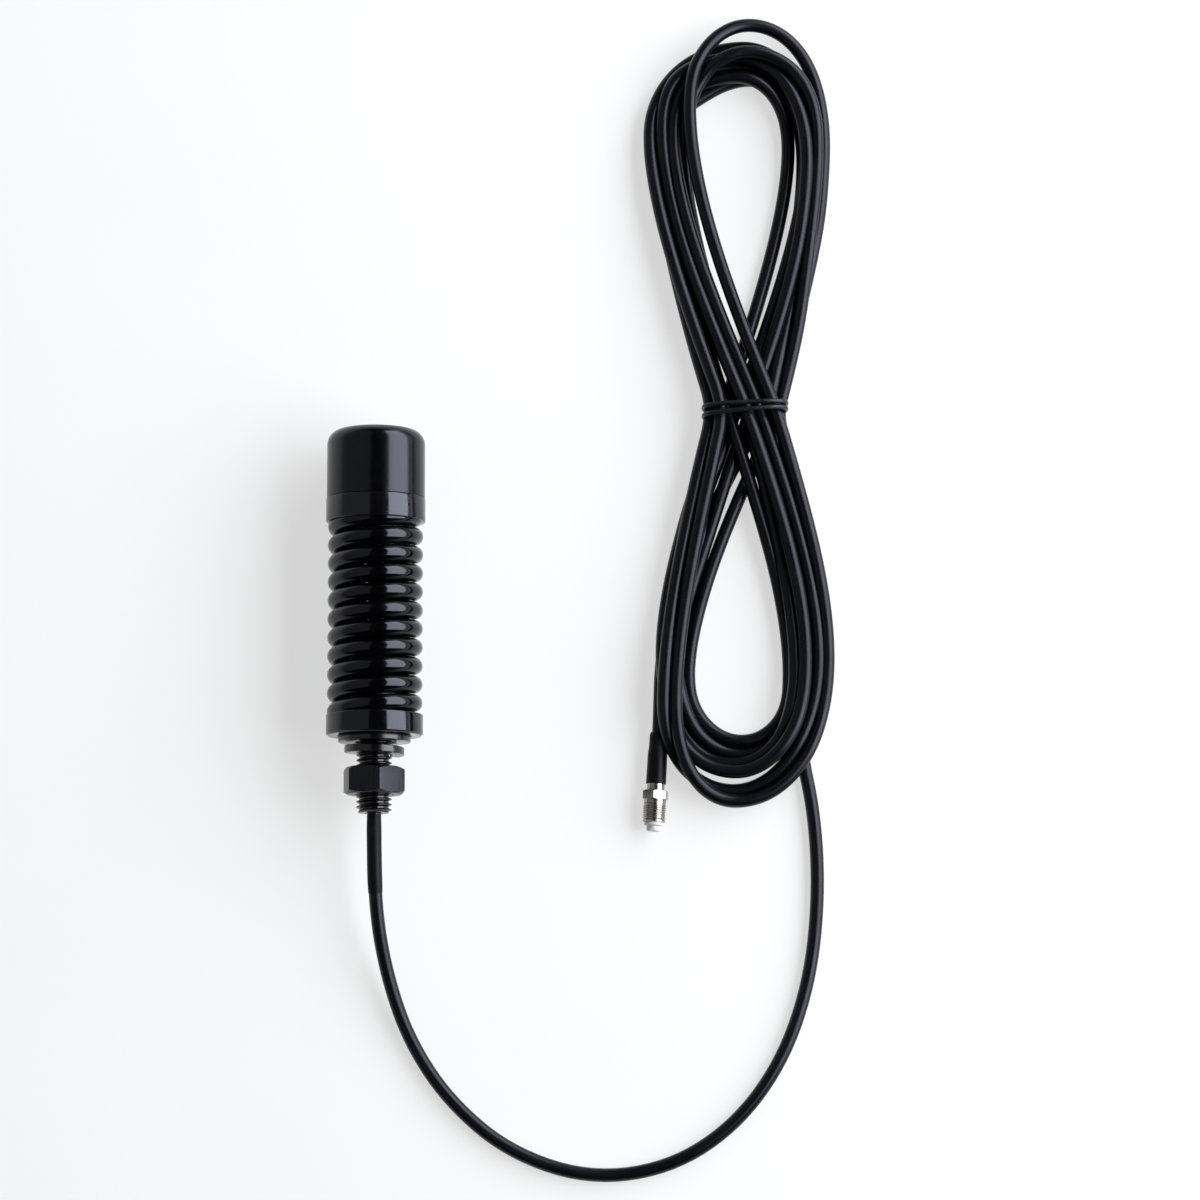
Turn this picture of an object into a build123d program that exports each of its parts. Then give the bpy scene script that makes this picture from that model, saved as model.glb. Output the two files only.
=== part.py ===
from build123d import *
import math
import os

# Spring-mounted omnidirectional antenna with an M12 panel stud and a fixed coax lead.
# It lies flat, as packed: the antenna's axis is +Y, towards the cap, and Z is up.
# The origin is the centre of the seat, the ring under the lower collar that meets a panel.
# All lengths are in millimetres.

# ---------------------------------------------------------------- driving dimensions
lower_collar_radius = 16.35
lower_collar_height = 7.2
seat_inner_radius = 12.6
seat_recess_depth = 0.4

spring_outer_radius = 16.1
spring_wire_radius = 3.08
spring_pitch = 6.3
spring_length = 65.4
spring_front_height = 9.5
spring_end_gap = 0.05

upper_collar_radius = 16.8
upper_collar_height = 8.0
spigot_radius = 14.25
spigot_height = 7.4

cap_radius = 16.6
cap_height = 23.55
cap_wall = 2.2
cap_roof = 2.4
cap_edge_radius = 5.2

collar_bore_radius = 9.7
plug_radius = 9.6
stud_radius = 6.0
stud_length = 26.0
stud_end_chamfer = 0.9
stud_head_radius = 9.4
stud_bore_radius = 2.75

washer_thickness = 2.5
plain_washer_radius = 12.2
lock_washer_radius = 10.1
lock_washer_rise = 1.6
nut_flats = 19.0
nut_height = 9.2
nut_corner_angle = 12.3

cable_radius = 2.3
sleeve_radius = 2.55
sleeve_share = 0.55
hank_height = 14.8
tie_wire = 1.7

# ---------------------------------------------------------------- places along the axis
floor_z = -upper_collar_radius
spring_start = lower_collar_height
spring_end = spring_start + spring_length
upper_collar_top = spring_end + upper_collar_height
cap_start = upper_collar_top + 0.05
cap_top = cap_start + cap_height
stud_end = -stud_length
plain_washer_top = 0.35
plain_washer_bottom = plain_washer_top - washer_thickness
lock_washer_middle = -4.65
nut_top = -10.6
nut_bottom = nut_top - nut_height
lead_floor_z = floor_z + cable_radius

os.makedirs("parts", exist_ok=True)


def section(*points):
    """A closed straight-sided half section, drawn in the sketch at hand."""
    Polygon(*points, align=None)


def band(inner, outer, low, high):
    """The half section of a plain ring or tube."""
    section((inner, low), (outer, low), (outer, high), (inner, high))


def save(made, name):
    made.part.label = name
    export_step(made.part, f"parts/{name}.step")


# ---------------------------------------------------------------- base
stud_head_bottom = 2.85
stud_head_top = 5.6
seal_groove_floor = 1.6
seal_ring_radius = 7.85
seal_section_radius = 0.6
edge_break = 0.3

with BuildPart() as lower_collar:
    with BuildSketch(Plane.XY):
        section(
            (stud_radius + 0.1, seat_recess_depth),
            (seat_inner_radius, seat_recess_depth),
            (seat_inner_radius, 0),
            (lower_collar_radius - 0.6, 0),
            (lower_collar_radius, 0.6),
            (lower_collar_radius, lower_collar_height - edge_break),
            (lower_collar_radius - edge_break, lower_collar_height),
            (collar_bore_radius, lower_collar_height),
            (collar_bore_radius, stud_head_bottom - 0.05),
            (seal_ring_radius + 0.95, stud_head_bottom - 0.05),
            (seal_ring_radius + 0.95, seal_groove_floor),
            (seal_ring_radius - 0.95, seal_groove_floor),
            (seal_ring_radius - 0.95, stud_head_bottom - 0.05),
            (stud_radius + 0.1, stud_head_bottom - 0.05),
        )
    revolve(axis=Axis.Y)
save(lower_collar, "lower_collar")

with BuildPart() as stud_seal:
    with BuildSketch(Plane.XY):
        with Locations((seal_ring_radius, seal_groove_floor + seal_section_radius)):
            Circle(seal_section_radius)
    revolve(axis=Axis.Y)
save(stud_seal, "stud_seal")

# The M12 thread is a plain shank of its crest diameter.
with BuildPart() as mounting_stud:
    with BuildSketch(Plane.XY):
        section(
            (stud_bore_radius, stud_end),
            (stud_radius - stud_end_chamfer, stud_end),
            (stud_radius, stud_end + stud_end_chamfer),
            (stud_radius, stud_head_bottom),
            (stud_head_radius, stud_head_bottom),
            (stud_head_radius, stud_head_top - 0.4),
            (stud_head_radius - 0.4, stud_head_top),
            (stud_bore_radius, stud_head_top),
        )
    revolve(axis=Axis.Y)
save(mounting_stud, "mounting_stud")

plug_depth = 10.8
lower_plug_top = spring_start + plug_depth
potting_radius = 5.0
potting_top = 14.0

with BuildPart() as lower_spring_plug:
    with BuildSketch(Plane.XY):
        section(
            (potting_radius, stud_head_top + 0.05),
            (plug_radius, stud_head_top + 0.05),
            (plug_radius, lower_plug_top - 1.5),
            (plug_radius - 1.5, lower_plug_top),
            (cable_radius + 0.6, lower_plug_top),
            (cable_radius + 0.6, potting_top),
            (potting_radius, potting_top),
        )
    revolve(axis=Axis.Y)
save(lower_spring_plug, "lower_spring_plug")

with BuildPart() as potting:
    with BuildSketch(Plane.XY):
        band(cable_radius + 0.03, potting_radius - 0.03, stud_head_top + 0.05, potting_top - 0.05)
    revolve(axis=Axis.Y)
save(potting, "potting")

# ---------------------------------------------------------------- fasteners on the stud
with BuildPart() as plain_washer:
    with BuildSketch(Plane.XY):
        band(stud_radius + 0.5, plain_washer_radius, plain_washer_bottom, plain_washer_top)
    revolve(axis=Axis.Y)
    rims = plain_washer.edges().filter_by(GeomType.CIRCLE).sort_by(SortBy.RADIUS)[-2:]
    chamfer(rims, 0.25)
save(plain_washer, "plain_washer")

# A split ring wound one left-hand turn, so its ends bite when a right-hand nut backs off.
# The end nearer the nut is on the right, a little behind.
lock_washer_bore = 6.12
lock_washer_mean = (lock_washer_radius + lock_washer_bore) / 2
lock_washer_turns = 0.972
lock_washer_split_angle = 125

with BuildPart() as lock_washer:
    with BuildLine() as washer_path:
        ring_line = Helix(
            pitch=lock_washer_rise / lock_washer_turns,
            height=lock_washer_rise,
            radius=lock_washer_mean,
            center=(0, lock_washer_middle - lock_washer_rise / 2, 0),
            direction=(0, 1, 0),
            lefthand=True,
            mode=Mode.PRIVATE,
        )
        add(ring_line.rotate(Axis.Y, lock_washer_split_angle))
    with BuildSketch(washer_path.line ^ 0):
        Rectangle(lock_washer_radius - lock_washer_bore, washer_thickness)
    sweep(is_frenet=True)
save(lock_washer, "lock_washer")

nut_corner_radius = nut_flats / math.sqrt(3)
nut_face_radius = 0.475 * nut_flats
nut_bore_radius = stud_radius + 0.06
nut_chamfer = (nut_corner_radius - nut_face_radius) * math.tan(math.radians(30))

with BuildPart() as hex_nut:
    with BuildSketch(Plane.XZ.offset(-nut_top)):
        RegularPolygon(nut_corner_radius, 6, rotation=90 - nut_corner_angle)
    extrude(amount=nut_height)
    with BuildSketch(Plane.XY):
        section(
            (nut_bore_radius, nut_bottom + 0.7),
            (nut_bore_radius + 0.7, nut_bottom),
            (nut_face_radius, nut_bottom),
            (nut_corner_radius, nut_bottom + nut_chamfer),
            (nut_corner_radius, nut_top - nut_chamfer),
            (nut_face_radius, nut_top),
            (nut_bore_radius + 0.7, nut_top),
            (nut_bore_radius, nut_top - 0.7),
        )
    revolve(axis=Axis.Y, mode=Mode.INTERSECT)
save(hex_nut, "hex_nut")

# ---------------------------------------------------------------- spring
# A close-wound right-hand coil. Both ends are ground flat against the collars.
wire_line_radius = spring_outer_radius - spring_wire_radius
turns_below = math.ceil((spring_front_height - spring_start + spring_wire_radius) / spring_pitch)
coil_start = spring_front_height - turns_below * spring_pitch
coil_turns = math.ceil((spring_end + spring_wire_radius - coil_start) / spring_pitch)

with BuildPart() as spring_coil:
    with BuildLine() as coil_path:
        Helix(
            pitch=spring_pitch,
            height=coil_turns * spring_pitch,
            radius=wire_line_radius,
            center=(0, coil_start, 0),
            direction=(0, 1, 0),
        )
    with BuildSketch(coil_path.line ^ 0):
        Circle(spring_wire_radius)
    sweep(is_frenet=True)
    with BuildSketch(Plane.XZ.offset(-(spring_start + spring_end_gap))):
        Circle(2 * spring_outer_radius)
    extrude(amount=-(spring_length - 2 * spring_end_gap), mode=Mode.INTERSECT)
save(spring_coil, "spring_coil")

# ---------------------------------------------------------------- coax inside the antenna
lead_start = -14.0
lead_joint_gap = 0.05
braid_end = spring_end - 0.6
core_radius = 1.5
core_end = upper_collar_top - 0.4

with BuildPart() as inner_coax:
    with BuildSketch(Plane.XZ.offset(-lead_start)):
        Circle(cable_radius)
    extrude(amount=-(braid_end - lead_start))
save(inner_coax, "inner_coax")

with BuildPart() as coax_core:
    with BuildSketch(Plane.XZ.offset(-braid_end)):
        Circle(core_radius)
    extrude(amount=-(core_end - braid_end))
save(coax_core, "coax_core")

upper_plug_top = upper_collar_top - 1.6

with BuildPart() as braid_ferrule:
    with BuildSketch(Plane.XY):
        band(core_radius + 0.03, 2.6, braid_end + 0.05, upper_plug_top - 1.0)
    revolve(axis=Axis.Y)
save(braid_ferrule, "braid_ferrule")

# ---------------------------------------------------------------- head
with BuildPart() as upper_spring_plug:
    with BuildSketch(Plane.XY):
        section(
            (cable_radius + 0.6, spring_end - plug_depth),
            (plug_radius - 1.5, spring_end - plug_depth),
            (plug_radius, spring_end - plug_depth + 1.5),
            (plug_radius, upper_plug_top),
            (2.65, upper_plug_top),
            (2.65, braid_end),
            (cable_radius + 0.6, braid_end),
        )
    revolve(axis=Axis.Y)
save(upper_spring_plug, "upper_spring_plug")

cup_radius = 12.0
cup_floor = upper_collar_top - 0.4
cap_seal_low = upper_collar_top + 1.8
cap_seal_groove = 1.8

with BuildPart() as upper_collar:
    with BuildSketch(Plane.XY):
        section(
            (collar_bore_radius, spring_end),
            (upper_collar_radius - edge_break, spring_end),
            (upper_collar_radius, spring_end + edge_break),
            (upper_collar_radius, upper_collar_top - 0.15),
            (upper_collar_radius - 0.15, upper_collar_top),
            (spigot_radius, upper_collar_top),
            (spigot_radius, cap_seal_low),
            (spigot_radius - 1.15, cap_seal_low),
            (spigot_radius - 1.15, cap_seal_low + cap_seal_groove),
            (spigot_radius, cap_seal_low + cap_seal_groove),
            (spigot_radius, upper_collar_top + spigot_height - 0.5),
            (spigot_radius - 0.5, upper_collar_top + spigot_height),
            (cup_radius, upper_collar_top + spigot_height),
            (cup_radius, cup_floor),
            (collar_bore_radius, cup_floor),
        )
    revolve(axis=Axis.Y)
save(upper_collar, "upper_collar")

with BuildPart() as cap_seal:
    with BuildSketch(Plane.XY):
        with Locations((spigot_radius - 0.5, cap_seal_low + cap_seal_groove / 2)):
            Circle(seal_section_radius)
    revolve(axis=Axis.Y)
save(cap_seal, "cap_seal")

with BuildPart() as radome_cap:
    with BuildSketch(Plane.XY):
        with BuildLine():
            Polyline(
                (0, cap_top - cap_roof),
                (0, cap_top),
                (cap_radius, cap_top),
                (cap_radius, cap_start + 0.2),
                (cap_radius - 0.2, cap_start),
                (cap_radius - cap_wall, cap_start),
                (cap_radius - cap_wall, cap_top - cap_roof),
                close=True,
            )
        face = make_face()
        crown = face.vertices().filter_by(lambda v: v.X > 1 and v.Y > cap_top - cap_roof - 1)
        fillet(crown.sort_by(Axis.X)[-1], cap_edge_radius)
        fillet(crown.sort_by(Axis.X)[0], cap_edge_radius - cap_wall)
    revolve(axis=Axis.Y)
save(radome_cap, "radome_cap")

# A top-loaded monopole: the feed pin drives a brass disc, and a post ties its rim to ground.
pin_radius = 0.6
post_radius = 0.8
post_offset = 7.5
base_disc_height = 3.0
base_disc_bottom = cup_floor + 0.05
base_disc_top = base_disc_bottom + base_disc_height
disc_bottom = 97.1
disc_thickness = 0.8
disc_radius = 12.6

with BuildPart() as insulator_disc:
    with BuildSketch(Plane.XZ.offset(-base_disc_bottom)):
        Circle(cup_radius - 0.1)
        Circle(pin_radius + 0.05, mode=Mode.SUBTRACT)
        with Locations((post_offset, 0)):
            Circle(post_radius + 0.05, mode=Mode.SUBTRACT)
    extrude(amount=-base_disc_height)
save(insulator_disc, "insulator_disc")

with BuildPart() as radiator_support:
    with BuildSketch(Plane.XY):
        band(9.3, 10.5, base_disc_top + 0.05, disc_bottom - 0.05)
    revolve(axis=Axis.Y)
    with BuildSketch(Plane.XY.offset(-cap_radius)):
        with Locations((0, (base_disc_top + disc_bottom) / 2)):
            SlotOverall(9, 4, rotation=90)
    extrude(amount=2 * cap_radius, mode=Mode.SUBTRACT)
save(radiator_support, "radiator_support")

with BuildPart() as radiator_disc:
    with BuildSketch(Plane.XZ.offset(-disc_bottom)):
        Circle(disc_radius)
        Circle(pin_radius + 0.05, mode=Mode.SUBTRACT)
        with Locations((post_offset, 0)):
            Circle(post_radius + 0.05, mode=Mode.SUBTRACT)
    extrude(amount=-disc_thickness)
save(radiator_disc, "radiator_disc")

with BuildPart() as feed_pin:
    with BuildSketch(Plane.XZ.offset(-(core_end + 0.03))):
        Circle(pin_radius)
    extrude(amount=-(disc_bottom + 1.4 - core_end))
save(feed_pin, "feed_pin")

with BuildPart() as ground_post:
    with BuildSketch(Plane.XZ.offset(-(upper_plug_top + 0.03))):
        with Locations((post_offset, 0)):
            Circle(post_radius)
    extrude(amount=-(disc_bottom + 1.4 - upper_plug_top))
save(ground_post, "ground_post")

# ---------------------------------------------------------------- free lead
# The lead leaves the stud, sinks to the floor, goes round in one wide bow and runs
# under the hank on its lower right.
lead_route = [
    (0.0, lead_start - lead_joint_gap, 0.0),
    (0.0, -37.5, 0.0),
    (0.8, -61.0, -4.4),
    (4.8, -82.0, -11.8),
    (12.0, -102.0, lead_floor_z),
    (25.0, -121.5, lead_floor_z),
    (45.0, -138.5, lead_floor_z),
    (72.0, -147.6, lead_floor_z),
    (99.0, -144.0, lead_floor_z),
    (121.0, -130.0, lead_floor_z),
    (137.0, -108.5, lead_floor_z),
    (146.3, -82.0, lead_floor_z),
    (149.6, -53.0, lead_floor_z),
    (148.4, -25.0, lead_floor_z),
    (143.5, -2.0, lead_floor_z),
]


def bend_radii(route):
    """The largest arc that each corner's two runs allow."""
    points = [Vector(*p) for p in route]
    radii = []
    for before, corner, after in zip(points, points[1:], points[2:]):
        arriving, leaving = corner - before, after - corner
        half_turn = math.radians(arriving.get_angle(leaving) / 2)
        radii.append(0.45 * min(arriving.length, leaving.length) / math.tan(half_turn))
    return radii


def swept_lead(name, route):
    """A round tube of the lead along the route, with its volume compared."""
    radii = bend_radii(route)
    with BuildPart() as lead:
        with BuildLine() as path:
            FilletPolyline(*route, radius=radii)
        with BuildSketch(path.wire() ^ 0):
            Circle(cable_radius)
        sweep(path=path.wire())
    length = path.wire().length
    expected = math.pi * cable_radius**2 * length
    print(name, "bend radii", [round(r) for r in radii])
    print(name, "length", round(length, 1), "volume share", round(lead.part.volume / expected, 4))
    save(lead, name)


swept_lead("coax_cable", lead_route)

# The sleeve is shrunk on the lead, from inside the stud to the middle of the second run.
sleeve_inside = 5.0
sleeve_corner, sleeve_next = (Vector(*p) for p in lead_route[1:3])
sleeve_route = [
    (0, stud_end + sleeve_inside, 0),
    sleeve_corner,
    sleeve_corner + (sleeve_next - sleeve_corner) * sleeve_share,
]

with BuildPart() as exit_sleeve:
    with BuildLine() as sleeve_path:
        FilletPolyline(*sleeve_route, radius=bend_radii(lead_route)[0])
    with BuildSketch(sleeve_path.wire() ^ 0):
        Circle(sleeve_radius)
        Circle(cable_radius, mode=Mode.SUBTRACT)
    sweep(path=sleeve_path.wire())
save(exit_sleeve, "exit_sleeve")

# ---------------------------------------------------------------- hank
# The rest of the lead, wound in figure-eight turns that cross at a tied waist.
waist = (125.2, 113.0)
waist_half_width = 13.1
tie_gap = 0.05
tie_corner = 4.5
tie_notch = 2 * tie_wire + 2 * tie_gap
waist_height = hank_height - tie_wire - tie_gap
waist_middle_z = floor_z + hank_height - waist_height / 2
hank_outline = [
    (110.9, 114.5),
    (97.5, 161.0),
    (91.3, 199.9),
    (99.2, 231.6),
    (128.2, 249.3),
    (149.5, 231.0),
    (154.3, 196.4),
    (146.9, 151.0),
    (139.6, 114.5),
    (148.8, 72.0),
    (155.0, 27.0),
    (144.0, -10.5),
    (120.3, -23.4),
    (105.4, -12.5),
    (99.6, 1.5),
    (93.7, 24.1),
    (100.2, 61.1),
]
upper_opening = [(125.0, 153.0), (110.0, 205.0), (124.0, 226.5), (137.5, 203.4)]
lower_opening = [(127.0, 75.5), (111.7, 20.0), (123.1, 0.2), (136.5, 38.0)]

with BuildPart() as cable_hank:
    with BuildSketch(Plane.XY.offset(floor_z)):
        with BuildLine():
            Spline(*hank_outline, periodic=True)
        make_face()
        for opening in (upper_opening, lower_opening):
            with BuildLine():
                Spline(*opening, periodic=True)
            make_face(mode=Mode.SUBTRACT)
    extrude(amount=hank_height)
    # The tie pinches the waist, and passes under it.
    with BuildSketch(Plane.XZ.offset(-tie_notch / 2 - waist[1])):
        with Locations((waist[0], floor_z + hank_height / 2)):
            Rectangle(4 * waist_half_width, 2 * hank_height)
        with Locations((waist[0], waist_middle_z)):
            RectangleRounded(2 * waist_half_width, waist_height, tie_corner, mode=Mode.SUBTRACT)
    extrude(amount=tie_notch, mode=Mode.SUBTRACT)
save(cable_hank, "cable_hank")

with BuildPart() as hank_tie:
    with BuildSketch(Plane.XZ.offset(-tie_wire - waist[1])):
        with Locations((waist[0], waist_middle_z)):
            RectangleRounded(2 * waist_half_width, waist_height, tie_corner)
        offset(amount=tie_gap + tie_wire)
        with Locations((waist[0], waist_middle_z)):
            RectangleRounded(
                2 * (waist_half_width + tie_gap),
                waist_height + 2 * tie_gap,
                tie_corner + tie_gap,
                mode=Mode.SUBTRACT,
            )
    extrude(amount=2 * tie_wire)
save(hank_tie, "hank_tie")

# ---------------------------------------------------------------- connector
# An FME-style jack on the lead's far end. It lies beside the hank and leans a little.
connector_lean = 3.2
connector_height = 4.6
connector_top = (95.7, 2.6, floor_z + connector_height)
lean = math.radians(connector_lean)
connector_plane = Plane(
    origin=connector_top, x_dir=(-math.cos(lean), math.sin(lean), 0), z_dir=(0, 0, 1)
)
connector_axis = Axis(connector_top, connector_plane.y_dir)
across_plane = Plane(origin=connector_top, x_dir=(0, 0, 1), z_dir=connector_plane.y_dir)

boot_length = 17.6
boot_radius = 3.3
ferrule_start = 6.0
ferrule_end = 19.7
ferrule_radius = 3.0
spigot_start = 9.0
hex_start = 19.75
hex_end = 23.0
hex_flats = 8.0
neck_end = 24.4
thread_radius = 4.0
thread_end = 29.8
barrel_end = 30.5
barrel_lip_radius = 3.8
insulator_flange_end = 31.6
insulator_end = 33.6
insulator_radius = 2.4
contact_radius = 0.75

tail_end = connector_plane.from_local_coords((0, ferrule_start - 0.05, 0))
tail_bend = connector_plane.from_local_coords((0, -5.0, 0))
tail_route = [(97.9, 28.0, floor_z + 3.8), (96.6, 18.0, floor_z + 4.4), tail_bend, tail_end]
swept_lead("cable_tail", tail_route)

with BuildPart() as connector_boot:
    with BuildSketch(connector_plane):
        section(
            (cable_radius + 0.03, 0),
            (cable_radius + 0.35, 0),
            (boot_radius - 0.15, 0.9),
            (boot_radius + 0.1, boot_length),
            (ferrule_radius + 0.03, boot_length),
            (ferrule_radius + 0.03, ferrule_start - 0.05),
            (cable_radius + 0.03, ferrule_start - 0.05),
        )
    revolve(axis=connector_axis)
save(connector_boot, "connector_boot")

with BuildPart() as crimp_ferrule:
    with BuildSketch(connector_plane):
        band(2.05, ferrule_radius, ferrule_start, ferrule_end)
    revolve(axis=connector_axis)
save(crimp_ferrule, "crimp_ferrule")

with BuildPart() as jack_body:
    with BuildSketch(across_plane.offset(hex_start)):
        RegularPolygon(hex_flats / math.sqrt(3), 6, rotation=10)
    extrude(amount=hex_end - hex_start)
    with BuildSketch(connector_plane):
        section(
            (0, spigot_start),
            (2.0, spigot_start),
            (2.0, hex_start),
            (hex_flats / 2, hex_start),
            (hex_flats / 2, hex_end),
            (3.75, hex_end),
            (3.75, neck_end),
            (thread_radius, neck_end),
            (thread_radius, thread_end),
            (barrel_lip_radius, thread_end),
            (barrel_lip_radius, barrel_end),
            (0, barrel_end),
        )
    revolve(axis=connector_axis)
    with BuildSketch(connector_plane):
        section(
            (0, spigot_start),
            (contact_radius + 0.1, spigot_start),
            (contact_radius + 0.1, hex_end),
            (2.65, hex_end),
            (2.65, barrel_end),
            (0, barrel_end),
        )
    revolve(axis=connector_axis, mode=Mode.SUBTRACT)
save(jack_body, "jack_body")

with BuildPart() as jack_insulator:
    with BuildSketch(connector_plane):
        section(
            (contact_radius + 0.03, hex_end + 0.05),
            (2.6, hex_end + 0.05),
            (2.6, barrel_end + 0.03),
            (3.3, barrel_end + 0.03),
            (3.3, insulator_flange_end),
            (insulator_radius, insulator_flange_end + 0.3),
            (insulator_radius, insulator_end - 0.4),
            (insulator_radius - 0.4, insulator_end),
            (contact_radius + 0.03, insulator_end),
        )
    revolve(axis=connector_axis)
save(jack_insulator, "jack_insulator")

with BuildPart() as centre_contact:
    with BuildSketch(connector_plane):
        section(
            (0, spigot_start + 0.1),
            (contact_radius, spigot_start + 0.1),
            (contact_radius, insulator_end - 0.2),
            (0.5, insulator_end - 0.2),
            (0.5, insulator_end - 5.0),
            (0, insulator_end - 5.0),
        )
    revolve(axis=connector_axis)
save(centre_contact, "centre_contact")
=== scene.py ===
"""The looks of a spring-mounted omnidirectional antenna that lies beside its hanked lead.

The frame is the CAD's: the antenna's axis is +Y, towards the cap, +Z is up, and the origin is
the centre of the seat. Lengths below are in millimetres and are turned into metres by MM.
"""
import math

import bmesh
import bpy
import numpy as np
from mathutils import Matrix, Vector


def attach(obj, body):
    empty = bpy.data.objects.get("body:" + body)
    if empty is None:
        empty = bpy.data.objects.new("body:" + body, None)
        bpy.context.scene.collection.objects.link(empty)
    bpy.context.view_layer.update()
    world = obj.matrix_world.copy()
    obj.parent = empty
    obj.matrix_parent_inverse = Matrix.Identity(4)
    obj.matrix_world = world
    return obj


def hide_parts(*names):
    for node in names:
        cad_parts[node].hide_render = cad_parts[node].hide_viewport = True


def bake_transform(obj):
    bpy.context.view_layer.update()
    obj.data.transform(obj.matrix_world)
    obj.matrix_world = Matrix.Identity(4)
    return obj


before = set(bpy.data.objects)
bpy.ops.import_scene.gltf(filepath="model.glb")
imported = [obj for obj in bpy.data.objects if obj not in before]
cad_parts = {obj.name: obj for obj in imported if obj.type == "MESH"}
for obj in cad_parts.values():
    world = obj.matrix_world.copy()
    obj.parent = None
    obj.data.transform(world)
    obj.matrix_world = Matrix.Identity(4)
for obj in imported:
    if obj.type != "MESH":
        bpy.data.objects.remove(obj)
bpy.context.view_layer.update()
scene = bpy.context.scene
MM = 0.001
FULL_TURN = 2 * math.pi

# ------------------------------------------------------------ sizes
COLLAR_RADIUS = 16.35
COLLAR_HEIGHT = 7.2
SEAT_INNER = 12.6
COLLAR_BORE = 9.7

WIRE_RADIUS = 3.08
COIL_RADIUS = 13.02
COIL_PITCH = 6.3
COIL_FRONT = 9.5
COIL_LOW = 7.25
COIL_HIGH = 72.55
LOWER_FLEX = 23.55
UPPER_FLEX = 56.25

HEAD_RADIUS = 16.8
HEAD_LOW = 72.6
HEAD_HIGH = 80.6
SPIGOT_RADIUS = 14.25
CAP_RADIUS = 16.6
CAP_LOW = 80.65
CAP_HIGH = 104.2
CAP_WALL = 2.2
CAP_ROOF = 2.4
CAP_EDGE = 5.2

STUD_CREST = 5.97
STUD_ROOT = 4.95
STUD_PITCH = 1.75
STUD_END = -26.0
STUD_BORE = 2.75
STUD_HEAD_RADIUS = 9.4
STUD_HEAD_LOW = 2.85
STUD_HEAD_HIGH = 5.6
THREAD_PLAY = 0.1
NUT_TOP = -10.6
NUT_BOTTOM = -19.8
NUT_FLATS = 19.0
NUT_CORNER_ANGLE = 12.3
WASHER_TOP = 0.35
WASHER_BOTTOM = -2.15

CABLE_RADIUS = 2.3
SLEEVE_RADIUS = 2.52
SLEEVE_HIGH = -20.9
SLEEVE_LOW = -53.0
FLOOR_Z = -16.8
REST_Z = FLOOR_Z + CABLE_RADIUS

# ------------------------------------------------------------ camera
camera_data = bpy.data.cameras.new("camera")
camera_data.sensor_width = 36
camera_data.lens = 150
camera = bpy.data.objects.new("camera", camera_data)
camera.location = (0.0758, -0.18856, 1.67001)
camera.rotation_euler = (math.radians(8), 0, 0)
scene.collection.objects.link(camera)
scene.camera = camera
scene.view_settings.view_transform = "Standard"


# ------------------------------------------------------------ material helpers
class Surface:
    """A material being made: its nodes, and short ways to add the usual ones."""

    def __init__(self, name, colour, rough, metal=0.0):
        self.material = bpy.data.materials.new(name)
        self.material.use_nodes = True
        self.nodes = self.material.node_tree.nodes
        self.links = self.material.node_tree.links
        self.shader = self.nodes["Principled BSDF"]
        self.shader.inputs["Base Color"].default_value = (*colour, 1)
        self.shader.inputs["Roughness"].default_value = rough
        self.shader.inputs["Metallic"].default_value = metal
        self.place = self.nodes.new("ShaderNodeTexCoord").outputs["Object"]
        self.normal = None

    def stretched(self, scale):
        """The place, scaled along each axis."""
        node = self.nodes.new("ShaderNodeMapping")
        node.inputs["Scale"].default_value = scale
        self.links.new(self.place, node.inputs["Vector"])
        return node.outputs["Vector"]

    def noise(self, scale, detail=3.0, place=None, contrast=0.5):
        node = self.nodes.new("ShaderNodeTexNoise")
        node.inputs["Scale"].default_value = scale
        node.inputs["Detail"].default_value = detail
        node.inputs["Roughness"].default_value = contrast
        self.links.new(place or self.place, node.inputs["Vector"])
        return node.outputs["Fac"]

    def ranged(self, value, low, high, start=0.35, end=0.65):
        node = self.nodes.new("ShaderNodeMapRange")
        node.inputs["From Min"].default_value = start
        node.inputs["From Max"].default_value = end
        node.inputs["To Min"].default_value = low
        node.inputs["To Max"].default_value = high
        self.links.new(value, node.inputs["Value"])
        return node.outputs["Result"]

    def colours(self, value, low, high, start=0.35, end=0.65):
        node = self.nodes.new("ShaderNodeValToRGB")
        ramp = node.color_ramp
        ramp.elements[0].position = start
        ramp.elements[0].color = (*low, 1)
        ramp.elements[1].position = end
        ramp.elements[1].color = (*high, 1)
        self.links.new(value, node.inputs["Fac"])
        self.links.new(node.outputs["Color"], self.shader.inputs["Base Color"])

    def roughness(self, value):
        self.links.new(value, self.shader.inputs["Roughness"])

    def bump(self, value, strength, distance):
        """Adds a relief, distance in millimetres, over those already there."""
        node = self.nodes.new("ShaderNodeBump")
        node.inputs["Strength"].default_value = strength
        node.inputs["Distance"].default_value = distance * MM
        self.links.new(value, node.inputs["Height"])
        if self.normal:
            self.links.new(self.normal, node.inputs["Normal"])
        self.normal = node.outputs["Normal"]
        self.links.new(self.normal, self.shader.inputs["Normal"])

    def mirror(self, level, tint=(0.80, 0.84, 1.0)):
        """How strongly the surface mirrors, and the cool cast of black finishes."""
        self.shader.inputs["Specular IOR Level"].default_value = level
        self.shader.inputs["Specular Tint"].default_value = (*tint, 1)


def enamel(name, colour, rough, mirror):
    """Gloss black over turned steel: a little orange peel, and wiping marks in the gloss."""
    made = Surface(name, colour, rough)
    lighter = tuple(2.2 * c for c in colour)
    made.colours(made.noise(240, 5), colour, lighter, 0.4, 0.8)
    made.roughness(made.ranged(made.noise(190, 6), rough * 0.8, rough * 1.3))
    made.bump(made.noise(900, 2), 0.04, 0.04)
    made.bump(made.noise(160, 2), 0.05, 0.2)
    made.mirror(mirror)
    return made.material


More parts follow.
